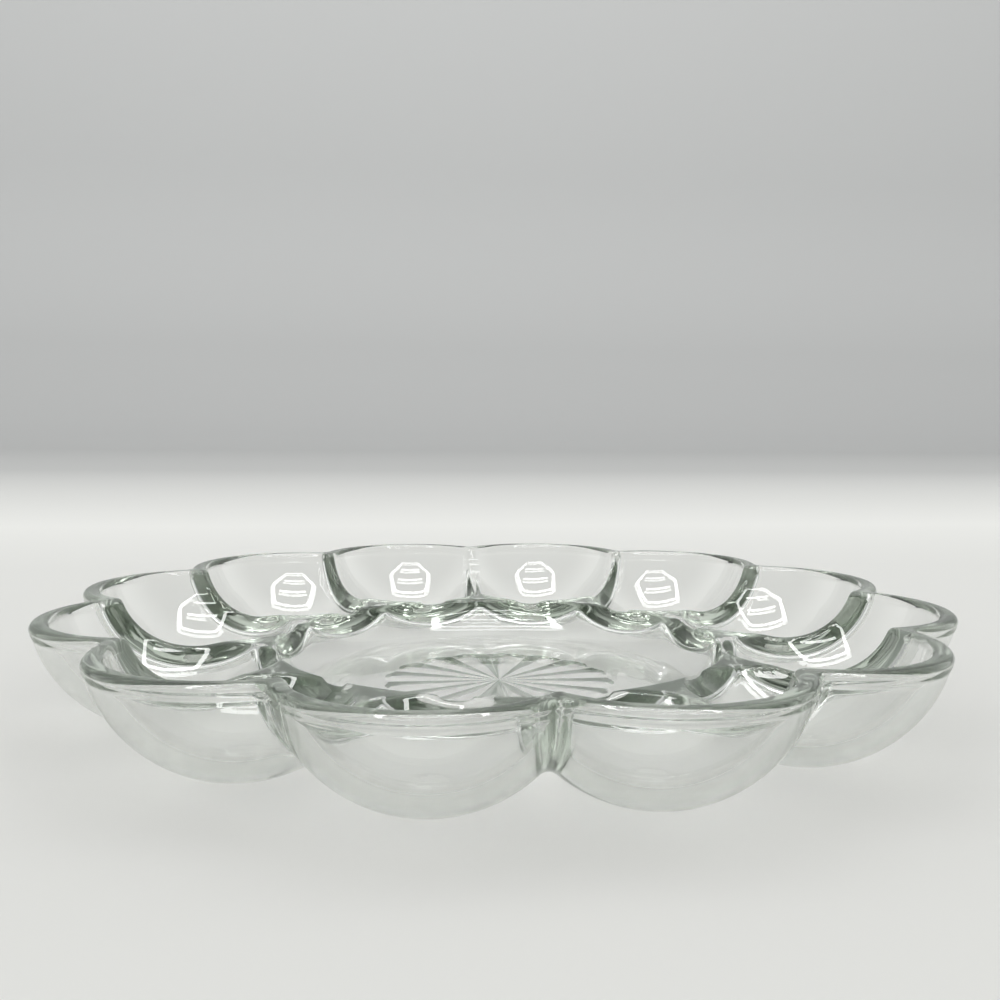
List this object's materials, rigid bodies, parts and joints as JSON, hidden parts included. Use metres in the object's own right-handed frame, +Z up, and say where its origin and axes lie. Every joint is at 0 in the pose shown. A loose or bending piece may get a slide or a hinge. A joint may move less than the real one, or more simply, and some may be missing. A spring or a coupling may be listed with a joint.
{
  "type": "deviled egg platter",
  "caption": "Round pressed-glass serving plate with a scalloped rim, a ring of egg-shaped wells and a flat centre with a pressed sunburst.",
  "frame": {"origin": "on the table, in the middle of the plate, in the plane of the flats under the wells", "axes": "+Z up along the plate's axis; the wells lie 15 degrees and every further 30 degrees round from +X, so the X and Y axes pass through notches of the rim"},
  "size_m": [0.2418, 0.2418, 0.029],
  "materials": {
    "clear_glass": "fire-polished clear pressed glass with a faint grey-green tint where it is thick"
  },
  "bodies": {
    "root": {"platter": "clear_glass"}
  },
  "joints": []
}
